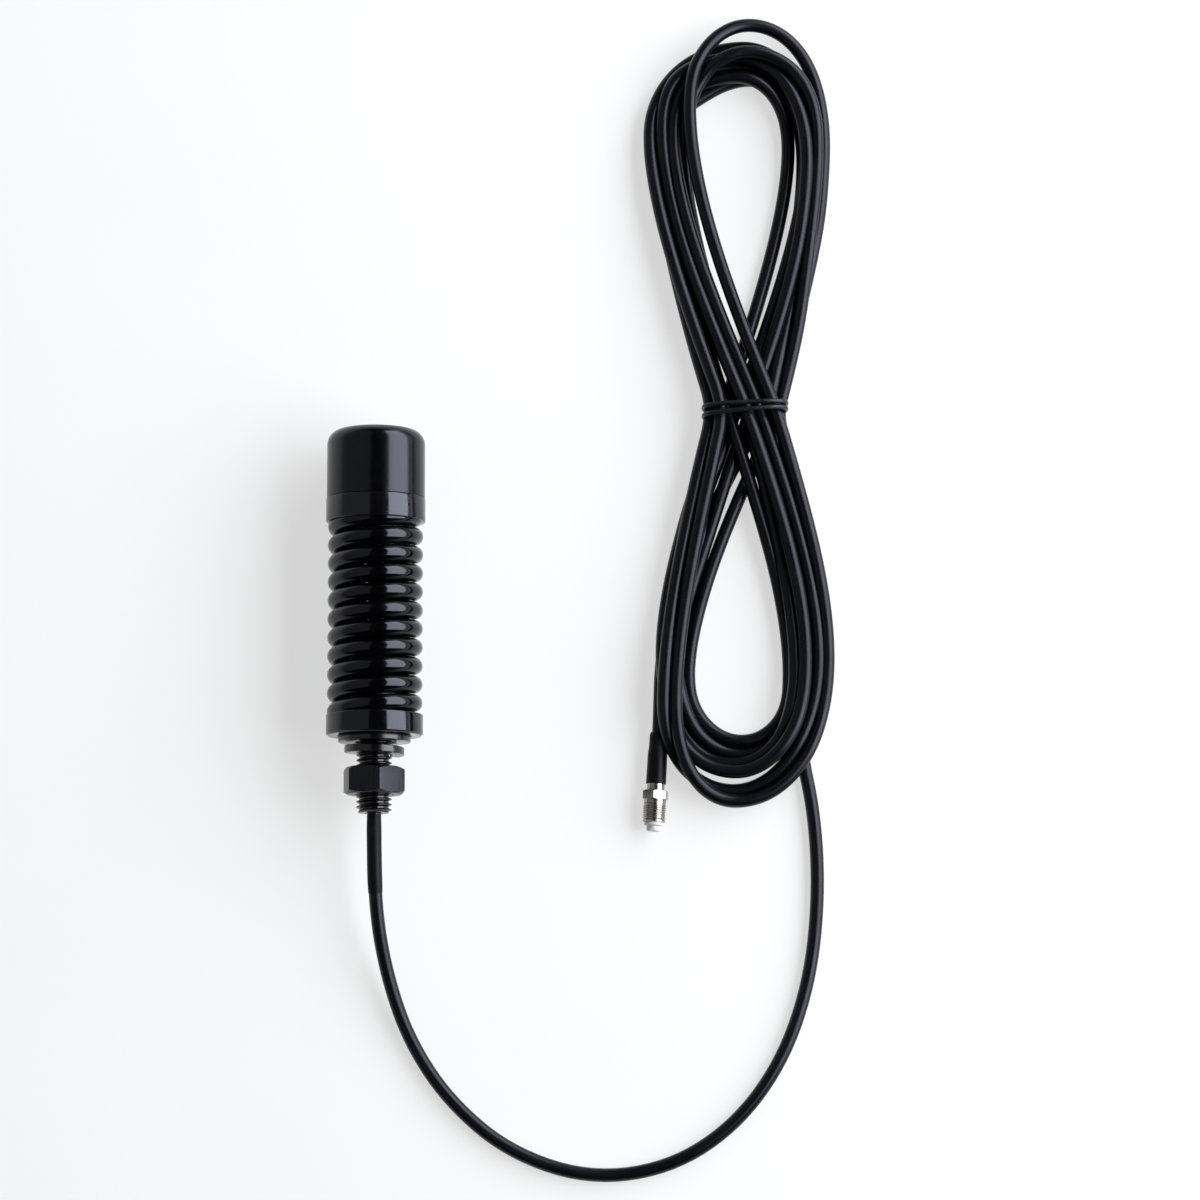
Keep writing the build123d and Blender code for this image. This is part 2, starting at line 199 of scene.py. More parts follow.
def black_enamel():
    return enamel("black_enamel", (0.0009, 0.0009, 0.0012), 0.11, 0.42)


def spring_enamel():
    return enamel("spring_enamel", (0.0006, 0.0006, 0.0009), 0.12, 0.34)


def black_chrome():
    """Black chrome: a dark mirror with faint turning lines round the axis."""
    made = Surface("black_chrome", (0.004, 0.004, 0.005), 0.12)
    made.colours(made.noise(120, 5), (0.0008, 0.0008, 0.0011), (0.0022, 0.0022, 0.003))
    lines = made.noise(1, 2, made.stretched((60, 4200, 60)))
    made.roughness(made.ranged(lines, 0.08, 0.2))
    made.bump(lines, 0.03, 0.03)
    made.mirror(0.48)
    return made.material


def radome_plastic():
    """Moulded black plastic, satin, with a very fine spark-eroded grain."""
    made = Surface("radome_plastic", (0.001, 0.001, 0.0014), 0.2)
    made.colours(made.noise(300, 4), (0.0004, 0.0004, 0.0007), (0.0011, 0.0011, 0.0016))
    made.roughness(made.ranged(made.noise(700, 5), 0.18, 0.22))
    made.bump(made.noise(2600, 3), 0.06, 0.03)
    made.mirror(0.34)
    return made.material


def nut_plate():
    """Satin black zinc on a drawn hexagon: fine drawing lines along the flats."""
    made = Surface("nut_plate", (0.006, 0.006, 0.007), 0.3)
    lines = made.noise(1, 3, made.stretched((2600, 120, 2600)))
    made.colours(lines, (0.0015, 0.0015, 0.002), (0.006, 0.006, 0.007), 0.35, 0.75)
    made.roughness(made.ranged(lines, 0.2, 0.36))
    made.bump(lines, 0.10, 0.04)
    made.bump(made.noise(500, 3), 0.06, 0.05)
    made.mirror(0.3)
    return made.material


def washer_plate():
    """Black plate over a punched and tumbled washer, with small dings in its face."""
    made = Surface("washer_plate", (0.004, 0.004, 0.005), 0.18)
    made.colours(made.noise(180, 6), (0.001, 0.001, 0.0014), (0.0035, 0.0035, 0.0045))
    made.roughness(made.ranged(made.noise(220, 6), 0.12, 0.28))
    made.bump(made.noise(700, 4), 0.10, 0.06)
    return made.material


def cable_jacket():
    """Satin PVC with the faint lengthwise streaks and the bloom of an extruded jacket."""
    made = Surface("cable_jacket", (0.004, 0.0042, 0.0055), 0.3)
    made.colours(made.noise(130, 5), (0.0008, 0.0009, 0.0015), (0.0024, 0.0026, 0.004))
    made.roughness(made.ranged(made.noise(60, 5), 0.27, 0.36))
    made.bump(made.noise(1500, 3), 0.10, 0.03)
    made.bump(made.noise(55, 1), 0.10, 0.35)
    made.mirror(0.25)
    return made.material


def shrink_sleeve():
    """Heat-shrunk polyolefin: matt, with soft lengthwise folds and pulled-in dimples."""
    made = Surface("shrink_sleeve", (0.007, 0.007, 0.0075), 0.46)
    made.colours(made.noise(210, 5), (0.0012, 0.0012, 0.0016), (0.0036, 0.0036, 0.0044))
    made.roughness(made.ranged(made.noise(110, 4), 0.36, 0.55))
    made.mirror(0.14)
    made.bump(made.noise(1, 3, made.stretched((900, 90, 900))), 0.16, 0.10)
    made.bump(made.noise(1900, 3), 0.12, 0.03)
    return made.material


def tie_plastic():
    """The soft skin of a tie wire, slightly wavy over its core."""
    made = Surface("tie_plastic", (0.006, 0.006, 0.007), 0.33)
    made.colours(made.noise(400, 4), (0.002, 0.002, 0.003), (0.006, 0.006, 0.0075))
    made.roughness(made.ranged(made.noise(300, 4), 0.28, 0.46))
    made.bump(made.noise(420, 3), 0.18, 0.10)
    made.mirror(0.34)
    return made.material


def nickel():
    """Bright nickel over turned brass: tool lines, faint yellowing and small pits."""
    made = Surface("nickel", (0.74, 0.72, 0.68), 0.16, 1.0)
    made.colours(made.noise(260, 5), (0.41, 0.39, 0.36), (0.26, 0.235, 0.205), 0.38, 0.7)
    lines = made.noise(1, 2, made.stretched((120, 5200, 120)))
    made.roughness(made.ranged(lines, 0.16, 0.32))
    made.bump(lines, 0.07, 0.03)
    made.bump(made.noise(1400, 4), 0.05, 0.03)
    return made.material


def gold_contact():
    made = Surface("gold_contact", (0.83, 0.62, 0.25), 0.18, 1.0)
    made.colours(made.noise(600, 4), (0.86, 0.66, 0.28), (0.72, 0.50, 0.19))
    made.roughness(made.ranged(made.noise(900, 4), 0.13, 0.28))
    made.bump(made.noise(2400, 3), 0.06, 0.02)
    return made.material


def white_dielectric():
    """Machined PTFE: white, waxy, with tool lines and a little light going in."""
    made = Surface("white_dielectric", (0.86, 0.86, 0.84), 0.35)
    made.colours(made.noise(500, 4), (0.60, 0.60, 0.60), (0.50, 0.50, 0.495))
    made.roughness(made.ranged(made.noise(800, 3), 0.28, 0.44))
    made.bump(made.noise(1, 2, made.stretched((90, 4800, 90))), 0.08, 0.03)
    made.shader.inputs["Subsurface Weight"].default_value = 0.12
    made.shader.inputs["Subsurface Radius"].default_value = (0.0006, 0.0006, 0.0006)
    return made.material


def brass():
    made = Surface("brass", (0.72, 0.55, 0.28), 0.25, 1.0)
    made.colours(made.noise(200, 6), (0.76, 0.58, 0.30), (0.56, 0.40, 0.20), 0.4, 0.8)
    made.roughness(made.ranged(made.noise(1, 3, made.stretched((3000, 200, 200))), 0.18, 0.36))
    made.bump(made.noise(1200, 3), 0.06, 0.03)
    return made.material


def zinc_steel():
    """Turned steel under clear zinc, with lines round the axis."""
    made = Surface("zinc_steel", (0.55, 0.56, 0.57), 0.3, 1.0)
    made.colours(made.noise(150, 5), (0.60, 0.61, 0.62), (0.42, 0.43, 0.45), 0.4, 0.75)
    lines = made.noise(1, 3, made.stretched((100, 3600, 100)))
    made.roughness(made.ranged(lines, 0.22, 0.42))
    made.bump(lines, 0.10, 0.04)
    return made.material


def rubber_seal():
    made = Surface("rubber_seal", (0.012, 0.012, 0.012), 0.62)
    made.colours(made.noise(700, 4), (0.009, 0.009, 0.009), (0.022, 0.022, 0.022))
    made.roughness(made.ranged(made.noise(500, 4), 0.5, 0.72))
    made.bump(made.noise(1800, 3), 0.2, 0.05)
    return made.material


def natural_plastic():
    """Machined acetal, off-white."""
    made = Surface("natural_plastic", (0.80, 0.78, 0.72), 0.4)
    made.colours(made.noise(300, 4), (0.83, 0.81, 0.75), (0.72, 0.70, 0.64))
    made.roughness(made.ranged(made.noise(400, 4), 0.3, 0.5))
    made.bump(made.noise(1, 2, made.stretched((100, 4000, 100))), 0.1, 0.04)
    return made.material


def potting_resin():
    """Poured epoxy: glossy, with a few pinholes and a slow ripple."""
    made = Surface("potting_resin", (0.02, 0.018, 0.016), 0.15)
    made.colours(made.noise(260, 5), (0.014, 0.012, 0.011), (0.034, 0.03, 0.026))
    made.roughness(made.ranged(made.noise(200, 5), 0.1, 0.25))
    made.bump(made.noise(160, 2), 0.15, 0.2)
    return made.material


ENAMEL = black_enamel()
SPRING = spring_enamel()
CHROME = black_chrome()
RADOME = radome_plastic()
NUT_PLATE = nut_plate()
WASHER_PLATE = washer_plate()
JACKET = cable_jacket()
SLEEVE = shrink_sleeve()
TIE = tie_plastic()
NICKEL = nickel()
WHITE = white_dielectric()
CARRIED_OVER = {
    "stud_seal": rubber_seal(),
    "cap_seal": rubber_seal(),
    "lower_spring_plug": zinc_steel(),
    "upper_spring_plug": zinc_steel(),
    "potting": potting_resin(),
    "coax_core": natural_plastic(),
    "braid_ferrule": brass(),
    "insulator_disc": natural_plastic(),
    "radiator_support": natural_plastic(),
    "radiator_disc": brass(),
    "feed_pin": brass(),
    "ground_post": brass(),
    "centre_contact": gold_contact(),
}


# ------------------------------------------------------------ mesh helpers
def outline(*corners):
    """The points of a closed half section: corners of (radius, height, rounding)."""
    points = []
    for k, (radius, height, rounding) in enumerate(corners):
        here = Vector((radius, height))
        if not rounding:
            points.append(here)
            continue
        back = (Vector(corners[k - 1][:2]) - here).normalized()
        on = (Vector(corners[(k + 1) % len(corners)][:2]) - here).normalized()
        half = back.angle(on) / 2
        middle = here + (back + on).normalized() * rounding / math.sin(half)
        first = here + back * rounding / math.tan(half) - middle
        last = here + on * rounding / math.tan(half) - middle
        sweep = math.pi - 2 * half
        steps = 3 if rounding < 0.6 else 10
        for s in range(steps + 1):
            near = math.sin(sweep * (1 - s / steps)) * first
            far = math.sin(sweep * s / steps) * last
            points.append(middle + (near + far) / math.sin(sweep))
    return points


def turned(angle, radius, height):
    """A point round the Y axis, its angle counted from +Z towards +X."""
    return Vector((radius * math.sin(angle), height, radius * math.cos(angle)))


def lathe(points, segments=96):
    """Rings of points round Y, one for each point of the half section."""
    angles = [FULL_TURN * k / segments for k in range(segments)]
    return [[turned(a, r, y) for a in angles] for r, y in points]


def grid(rings, wrap=True, shift=0):
    """Points and quads over closed rings. With wrap the last ring joins the first.

    A shift joins each ring's last point to the first point of the ring that many further on,
    which is what a thread's turns need."""
    count = len(rings[0])
    faces = []
    for r in range(len(rings) if wrap else len(rings) - 1):
        for i in range(count):
            low, high = r * count, (r + 1) % len(rings) * count
            if i + 1 < count:
                faces.append((low + i, low + i + 1, high + i + 1, high + i))
            elif (r + 1 + shift) < len(rings) or not shift:
                faces.append((low + i, low + shift * count, high + shift * count, high + i))
    return [p for ring in rings for p in ring], faces


def capped(rings):
    """Points and faces over open-ended rings, with a face over each end."""
    points, faces = grid(rings, wrap=False)
    count = len(rings[0])
    last = len(points) - count
    ends = [tuple(range(count)), tuple(range(last, last + count))]
    return points, faces + ends


def piece(name, parts, material, place=Matrix.Identity(4), sharp=32):
    """One object from (points, faces) parts in millimetres, welded where they meet."""
    points, faces = [], []
    for part_points, part_faces in parts:
        faces += [tuple(k + len(points) for k in face) for face in part_faces]
        points += [Vector(p) * MM for p in part_points]
    mesh = bpy.data.meshes.new(name)
    mesh.from_pydata(points, [], faces)
    work = bmesh.new()
    work.from_mesh(mesh)
    bmesh.ops.remove_doubles(work, verts=work.verts, dist=2e-7)
    bmesh.ops.dissolve_degenerate(work, edges=work.edges, dist=1e-7)
    loose = [v for v in work.verts if not v.link_faces]
    bmesh.ops.delete(work, geom=loose, context="VERTS")
    bmesh.ops.recalc_face_normals(work, faces=work.faces)
    work.to_mesh(mesh)
    work.free()
    mesh.transform(place)
    mesh.shade_smooth()
    mesh.set_sharp_from_angle(angle=math.radians(sharp))
    mesh.materials.append(material)
    made = bpy.data.objects.new(name, mesh)
    scene.collection.objects.link(made)
    return made


def stands_for(made, body, slot, *nodes):
    """The piece rides on the body and replaces those nodes."""
    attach(made, body)
    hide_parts(*nodes)
    return made


def thread(root, crest, pitch, low, high, end_radius, segments=72):
    """A right-hand thread about Y between two heights, and its 45 degree run-outs."""
    ridge = ((0, 0), (0.13, 0), (0.42, 1), (0.46, 1.04), (0.54, 1.04), (0.58, 1), (0.87, 0))
    outward = -1 if end_radius > crest else 1
    rings = []
    for turn in range(math.floor(low / pitch) - 2, math.ceil(high / pitch) + 3):
        for phase, rise in ridge:
            ring = []
            for i in range(segments):
                y = min(max((turn + phase + i / segments) * pitch, low), high)
                slope = min(y - low, high - y)
                radius = root + (crest - root) * rise
                limit = end_radius + outward * slope
                radius = min(radius, limit) if outward > 0 else max(radius, limit)
                ring.append(turned(FULL_TURN * i / segments, radius, y))
            rings.append(ring)
    return grid(rings, wrap=False, shift=len(ridge))


def hexagon(flats, rounding, turn, side_steps=10, corner_steps=4):
    """Points (angle, radius) round a hexagon with rounded corners."""
    points = []
    inner = flats / 2 - rounding
    reach = inner / math.cos(math.radians(30))
    for corner in range(6):
        at = math.radians(60 * corner)
        middle = Vector((reach * math.sin(at), reach * math.cos(at)))
        for s in range(corner_steps + 1):
            a = at + math.radians(60 * s / corner_steps - 30)
            points.append(middle + rounding * Vector((math.sin(a), math.cos(a))))
        end = at + math.radians(60)
        side = Vector((reach * math.sin(end), reach * math.cos(end))) - middle
        last = points[-1]
        points += [last + side * s / side_steps for s in range(1, side_steps)]
    return [(math.atan2(p.x, p.y) + math.radians(turn), p.length) for p in points]


# ------------------------------------------------------------ the lead
LEAD = [
    (0.0, -14.05, 0.0),
    (0.0, -37.5, 0.0),
    (0.8, -61.0, -4.4),
    (4.8, -82.0, -11.8),
    (12.0, -102.0, REST_Z),
    (25.0, -121.5, REST_Z),
    (45.0, -138.5, REST_Z),
    (72.0, -147.6, REST_Z),
    (99.0, -144.0, REST_Z),
    (121.0, -130.0, REST_Z),
    (137.0, -108.5, REST_Z),
    (146.3, -82.0, REST_Z),
    (149.6, -53.0, REST_Z),
    (148.4, -25.0, REST_Z),
    (143.5, -2.0, REST_Z),
]
# The lead goes up the hank's right side to the tied waist, where the turns begin.
CLIMB = [
    (143.6, 10.0, -14.5),
    (143.4, 22.0, -14.5),
    (142.5, 35.0, -14.5),
    (141.2, 48.0, -14.4),
    (139.6, 61.0, -14.0),
    (138.0, 74.0, -13.2),
    (136.3, 87.0, -11.6),
    (134.6, 100.0, -10.2),
]
FIRST_CROSSING = (133.5, -9.2)
WAIST_Y = 113.0
# What the tie leaves for the turns: across, up and down, and half its length along the hank.
TIED_X = (114.5, 136.1)
TIED_Z = (-12.75, -4.3)
TIED_LENGTH = 3.5
# Each half turn: the first side's widest place, the bend, the second side's widest place,
# and where (x, z) it then crosses the waist.
HALF_TURNS = [
    ((148.5, 205, -14.5), (124.5, 233.5, -13.5), (101.0, 207, -8.4), (130.3, -6.0)),
    ((149.6, 30, -13.5), (121.5, -17.4, -14.0), (97.9, 14, -8.6), (114.6, -5.9)),
    ((96.5, 206, -14.5), (123.0, 229.6, -11.5), (141.0, 207, -12.0), (118.0, -12.8)),
    ((96.0, 22, -10.8), (121.5, -11.2, -7.0), (145.2, 29, -5.6), (125.4, -4.5)),
    ((98.3, 208, -10.0), (125.0, 235.2, -12.0), (147.3, 200, -8.8), (127.5, -12.8)),
    ((101.5, 21, -14.5), (122.5, -7.6, -9.8), (142.5, 20, -9.4), (126.0, -8.8)),
    ((103.0, 212, -10.0), (126.0, 237.6, -7.0), (150.1, 207, -6.2), (136.0, -12.8)),
    ((105.0, 20, -11.0), (123.0, -2.4, -14.5), (141.5, 22, -12.0), (117.5, -8.3)),
    ((98.5, 208, -14.5), (125.0, 231.5, -14.5), (147.5, 200, -14.5), (131.8, -12.8)),
    ((101.0, 30, -14.5), (123.0, -4.9, -12.0), (147.0, 34, -14.5), (136.0, -8.5)),
    ((151.5, 212, -12.0), (128.0, 248.3, -9.0), (107.0, 215, -6.0), (135.2, -4.5)),
    ((152.5, 28, -9.6), (121.0, -21.0, -10.5), (100.8, 12, -5.0), (118.4, -4.5)),
    ((93.7, 208, -10.3), (125.0, 240.9, -11.5), (147.2, 203, -10.5), (121.5, -9.0)),
]
# It leaves the waist at the back left and comes down to the connector.
DESCENT = [
    (117.5, 101.0, -11.0),
    (112.0, 88.0, -13.4),
    (107.5, 75.0, -14.5),
    (103.8, 62.0, -14.5),
    (100.6, 49.0, -14.4),
    (98.2, 36.0, -13.8),
    (96.8, 24.0, -13.0),
    (96.1, 13.0, -12.4),
    (95.8, 4.0, -12.2),
    (95.4, -3.0, -12.2),
]
STEPS = 24


def eased(a, b, share):
    return a + (b - a) * share * share * (3 - 2 * share)


def figure_eight():
    """The hank's turns: each half turn leaves the waist, widens, bends and comes back."""
    points = []
    before = FIRST_CROSSING
    for first, bend, second, after in HALF_TURNS:
        reach = bend[1] - WAIST_Y
        for k in range(STEPS):
            t = k / STEPS
            side, waist, h = (first, before, t) if t < 0.5 else (second, after, 1 - t)
            widest = math.asin((side[1] - WAIST_Y) / reach) / math.pi
            if h < widest:
                x = waist[0] + (side[0] - waist[0]) * math.sin(math.pi / 2 * h / widest)
                z = eased(waist[1], side[2], h / widest)
            else:
                share = (h - widest) / (0.5 - widest)
                x = bend[0] + (side[0] - bend[0]) * math.cos(math.pi / 2 * share)
                z = eased(side[2], bend[2], share)
            points.append((x, WAIST_Y + reach * math.sin(math.pi * t), z))
        before = after
    points.append((before[0], WAIST_Y, before[1]))
    return points


def settled(points, rounds=260):
    """The turns as they lie: pushed a diameter apart, sunk to the floor, pinched by the tie."""
    gap = 2 * CABLE_RADIUS
    place = np.array(points, float)
    home = place.copy()
    held = 3
    free = slice(2, len(place) - held)
    order = np.arange(2 * len(place) - 1)
    apart = np.abs(order[:, None] - order[None, :]) > 5
    bend_home = (home[:-2] + home[2:]) / 2 - home[1:-1]
    bend_home[:, 2] = 0
    sideways, sinking, stiffness, homing = 0.7, 0.02, 0.1, 0.02
    for _ in range(rounds):
        probes = np.empty((len(order), 3))
        probes[0::2] = place
        probes[2:-1:2] = (place[:-2] + 6 * place[1:-1] + place[2:]) / 8
        probes[1::2] = (place[:-1] + place[1:]) / 2
        square = (probes**2).sum(1)
        distance = square[:, None] + square[None, :] - 2 * probes @ probes.T
        distance = np.sqrt(np.maximum(distance, 1e-6))
        push = np.where(apart & (distance < gap), gap / distance - 1, 0)
        touching = np.maximum((push > 0).sum(1), 1)[:, None]
        shove = (probes * push.sum(1)[:, None] - push @ probes) / touching / 2
        move = shove[0::2].copy()
        move[:-1] += shove[1::2] / 2
        move[1:] += shove[1::2] / 2
        move[:, :2] *= sideways
        move[:, 2] -= sinking
        move[1:-1] += stiffness * ((place[:-2] + place[2:]) / 2 - place[1:-1] - bend_home)
        move[:, :2] += homing * (home - place)[:, :2]
        place[free] += move[free]
        place[:, 2] = np.maximum(place[:, 2], REST_Z)
        tied = np.abs(place[:, 1] - WAIST_Y) < TIED_LENGTH
        place[tied, 0] = np.clip(place[tied, 0], *TIED_X)
        place[tied, 2] = np.clip(place[tied, 2], *TIED_Z)
    return [tuple(p) for p in place]


def lead_curve(points, name, bevel):
    """A NURBS line through the control points, round and as thick as the lead with a bevel."""
    data = bpy.data.curves.new(name, "CURVE")
    data.dimensions = "3D"
    spline = data.splines.new("NURBS")
    spline.points.add(len(points) - 1)
    for knot, p in zip(spline.points, points):
        knot.co = (*(Vector(p) * MM), 1)
    spline.order_u = 3
    spline.use_endpoint_u = True
    data.resolution_u = 7
    data.bevel_depth = bevel * MM
    data.bevel_resolution = 5
    data.use_fill_caps = bevel > 0
    made = bpy.data.objects.new(name, data)
    scene.collection.objects.link(made)
    return made


def centreline(points):
    """The lead's own line, as points in millimetres."""
    guide = lead_curve(points, "guide", 0)
    mesh = bpy.data.meshes.new_from_object(guide)
    line = [v.co / MM for v in mesh.vertices]
    bpy.data.objects.remove(guide)
    return line


hank = settled(LEAD[-2:] + CLIMB + figure_eight() + DESCENT)
lead_points = LEAD[:-2] + hank
lead_line = centreline(lead_points)
cable = lead_curve(lead_points, "lead", CABLE_RADIUS)
cable.data.materials.append(JACKET)


def frames(line):
    """For each point of a line, two directions across it that don't twist."""
    across = []
    side = Vector((1, 0, 0))
    for k, p in enumerate(line):
        ahead = (line[min(k + 1, len(line) - 1)] - line[max(k - 1, 0)]).normalized()
        side = (side - ahead * side.dot(ahead)).normalized()
        across.append((side, ahead.cross(side)))
    return across


def tube(line, radii, segments=32):
    """Rings of points round a line."""
    rings = []
    for p, radius, (u, v) in zip(line, radii, frames(line)):
        angles = [FULL_TURN * k / segments for k in range(segments)]
        rings.append([p + radius * (math.cos(a) * u + math.sin(a) * v) for a in angles])
    return rings


# ------------------------------------------------------------ shrink sleeve at the stud
def make_sleeve():
    """A thin sleeve shrunk on the lead, from inside the stud to where the lead starts to sink."""
    line = [p for p in lead_line if SLEEVE_LOW < p.y < SLEEVE_HIGH and p.x < 20]
    wave = [0.012 * math.sin(0.9 * p.y) + 0.01 * math.sin(2.3 * p.y + 1) for p in line]
    outer = [SLEEVE_RADIUS + w for w in wave]
    outer[0] = outer[-1] = CABLE_RADIUS + 0.1
    inner = [CABLE_RADIUS + 0.01] * len(line)
    made = piece("exit_sleeve_skin", [grid_of_tube(line, outer, inner)], SLEEVE)
    return stands_for(made, "base", "shrink_sleeve", "exit_sleeve")


def grid_of_tube(line, outer, inner):
    """The wall between an outer and an inner tube on one line."""
    inner_rings = tube(line, inner)
    return grid(tube(line, outer) + inner_rings[::-1])


exit_sleeve = make_sleeve()


# ------------------------------------------------------------ tie
def make_tie():
    """A plastic-covered wire wrapped twice round the waist. One cut end lies along the hank."""
    middle, half_width, half_height = Vector((125.2, WAIST_Y, -8.52)), 14.0, 7.45
    start, wraps, steps = math.radians(200), 2, 72
    wire_radius, squareness, half_gap = 0.82, 0.62, 0.95
    line = []
    for k in range(wraps * steps + 1):
        a = start - FULL_TURN * k / steps
        c, s = math.cos(a), math.sin(a)
        x = half_width * math.copysign(abs(c) ** squareness, c)
        z = half_height * math.copysign(abs(s) ** squareness, s)
        behind = min(max((k / steps - 0.55) / 0.35, 0), 1)
        row = half_gap - 2 * half_gap * eased(0, 1, behind)
        fan = 0.25 * (1 - x / half_width) * (1 if row > 0 else -1)
        line.append(middle + Vector((x, row + fan + x / half_width, z)))
    last = line[-1]
    line += [last + Vector((0.4 * k**0.5, -1.3 * k, -0.5 * k**0.5)) for k in range(1, 7)]
    return piece("hank_tie_wire", [capped(tube(line, [wire_radius] * len(line), 16))], TIE)


hank_tie = stands_for(make_tie(), "base", "tie_plastic", "hank_tie")


# ------------------------------------------------------------ connector
CONNECTOR = Matrix.Translation(Vector((95.7, 2.6, -12.2)) * MM) @ Matrix.Rotation(
    math.radians(-3.2), 4, "Z"
)


def along(*corners):
    """A half section whose heights are distances down the connector from its top."""
    return outline(*((r, -d, rounding) for r, d, rounding in corners))


def make_boot():
    """Shrink tubing over the crimp: a soft shoulder where the ferrule starts, and a cut end."""
    section = along(
        (2.33, 0.0, 0),
        (2.62, 0.0, 0.12),
        (3.02, 0.9, 0.5),
        (3.06, 5.2, 0.8),
        (3.30, 7.0, 0.8),
        (3.36, 13.0, 1.0),
        (3.40, 17.6, 0.12),
        (3.03, 17.6, 0.05),
        (3.03, 5.95, 0),
        (2.33, 5.95, 0),
    )
    made = piece("connector_boot_skin", [grid(lathe(section, 64))], SLEEVE, CONNECTOR, 40)
    return stands_for(made, "base", "shrink_sleeve", "connector_boot")


def make_ferrule():
    section = along((2.05, 6.0, 0.1), (3.0, 6.0, 0.15), (3.0, 19.7, 0.2), (2.05, 19.7, 0.1))
    made = piece("crimp_ferrule_skin", [grid(lathe(section, 64))], NICKEL, CONNECTOR)
    return stands_for(made, "base", "nickel", "crimp_ferrule")


def make_jack():
    """Hexagon, neck and threaded barrel, turned from one bar."""
    hexagonal = []
    for angle, radius in hexagon(8.0, 0.25, -10, 6, 3):
        bevel = (radius - 3.85) * math.tan(math.radians(30))
        section = along(
            (2.0, 19.75, 0),
            (3.85, 19.75, 0.08),
            (radius, 19.75 + bevel, 0.08),
            (radius, 23.0 - bevel, 0.08),
            (3.85, 23.0, 0.08),
            (2.0, 23.0, 0),
        )
        hexagonal.append([turned(angle, r, y) for r, y in section])
    hex_rings = [list(ring) for ring in zip(*hexagonal)]
    barrel = thread(3.58, 3.96, 0.75, -29.8, -24.4, 3.6, 64)
    spigot = along((0.85, 9.0, 0.05), (2.0, 9.0, 0.15), (2.0, 19.8, 0), (0.85, 19.8, 0))
    neck = [(3.6, -24.4), (3.75, -24.25), (3.75, -22.95), (2.65, -22.95)]
    mouth = [(2.65, -30.5), (3.72, -30.5), (3.8, -30.42), (3.8, -29.95), (3.6, -29.8)]
    tunnel = [(2.65, -22.95), (2.65, -30.5)]
    parts = [
        grid(hex_rings),
        grid(lathe(spigot, 64)),
        grid(lathe(neck, 64), wrap=False),
        barrel,
        grid(lathe(mouth, 64), wrap=False),
        grid(lathe(tunnel, 64), wrap=False),
    ]
    made = piece("jack_body_skin", parts, NICKEL, CONNECTOR)
    return stands_for(made, "base", "nickel", "jack_body")


def make_insulator():
    section = along(
        (0.78, 23.05, 0),
        (2.6, 23.05, 0),
        (2.6, 30.53, 0),
        (3.3, 30.53, 0.1),
        (3.3, 31.6, 0.3),
        (2.4, 31.9, 0.15),
        (2.4, 33.6, 0.4),
        (0.78, 33.6, 0.08),
    )
    made = piece("jack_insulator_skin", [grid(lathe(section, 64))], WHITE, CONNECTOR)
    return stands_for(made, "base", "white_dielectric", "jack_insulator")


boot = make_boot()
ferrule = make_ferrule()
jack = make_jack()
insulator = make_insulator()

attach(cable, "base")
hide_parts("coax_cable", "cable_hank", "cable_tail")


# ------------------------------------------------------------ base
def make_lower_collar():
    section = outline(
        (6.1, 0.4, 0.1),
        (SEAT_INNER, 0.4, 0.1),
        (SEAT_INNER, 0.0, 0.12),
        (COLLAR_RADIUS - 0.6, 0.0, 0.15),
        (COLLAR_RADIUS, 0.6, 0.3),
        (COLLAR_RADIUS, COLLAR_HEIGHT, 0.45),
        (COLLAR_BORE, COLLAR_HEIGHT, 0.3),
        (COLLAR_BORE, 2.8, 0),
        (8.8, 2.8, 0),
        (8.8, 1.6, 0),
        (6.9, 1.6, 0),
        (6.9, 2.8, 0),
        (6.1, 2.8, 0),
    )
    made = piece("lower_collar_skin", [grid(lathe(section, 128))], ENAMEL)
    return stands_for(made, "base", "black_enamel", "lower_collar")


def make_stud():
    """An M12 stud with a real thread, bored for the lead, its head inside the collar."""
    end_radius = STUD_ROOT + 0.1
    head = outline(
        (end_radius, STUD_HEAD_LOW, 0),
        (STUD_HEAD_RADIUS, STUD_HEAD_LOW, 0.15),
        (STUD_HEAD_RADIUS, STUD_HEAD_HIGH, 0.4),
        (STUD_BORE, STUD_HEAD_HIGH, 0.2),
        (STUD_BORE, STUD_END, 0.2),
        (end_radius, STUD_END, 0),
    )
    parts = [
        thread(STUD_ROOT, STUD_CREST, STUD_PITCH, STUD_END, STUD_HEAD_LOW, end_radius),
        grid(lathe(head, 72), wrap=False),
    ]
    made = piece("mounting_stud_skin", parts, WASHER_PLATE, sharp=28)
    return stands_for(made, "base", "black_enamel", "mounting_stud")


make_lower_collar()
make_stud()


# ------------------------------------------------------------ fasteners
def make_plain_washer():
    section = outline(
        (6.5, WASHER_BOTTOM, 0.15),
        (12.2, WASHER_BOTTOM, 0.25),
        (12.2, WASHER_TOP, 0.5),
        (6.5, WASHER_TOP, 0.3),
    )
    made = piece("plain_washer_skin", [grid(lathe(section, 96))], WASHER_PLATE)
    return stands_for(made, "plain_washer", "black_enamel", "plain_washer")


def make_lock_washer():
    """A square-section ring wound one left-hand turn, with its cut ends standing apart."""
    inner, outer, thick, rise = 6.14, 10.08, 2.48, 1.6
    start, turns, middle = math.radians(125), 0.972, -4.65
    section = outline(
        (inner, -thick / 2, 0.2),
        (outer, -thick / 2, 0.3),
        (outer, thick / 2, 0.3),
        (inner, thick / 2, 0.2),
    )
    rings = []
    steps = 110
    for k in range(steps + 1):
        share = k / steps
        height = middle + rise * (share - 0.5)
        angle = start - share * turns * FULL_TURN
        rings.append([turned(angle, r, y + height) for r, y in section])
    made = piece("lock_washer_skin", [capped(rings)], WASHER_PLATE)
    return stands_for(made, "lock_washer", "black_enamel", "lock_washer")


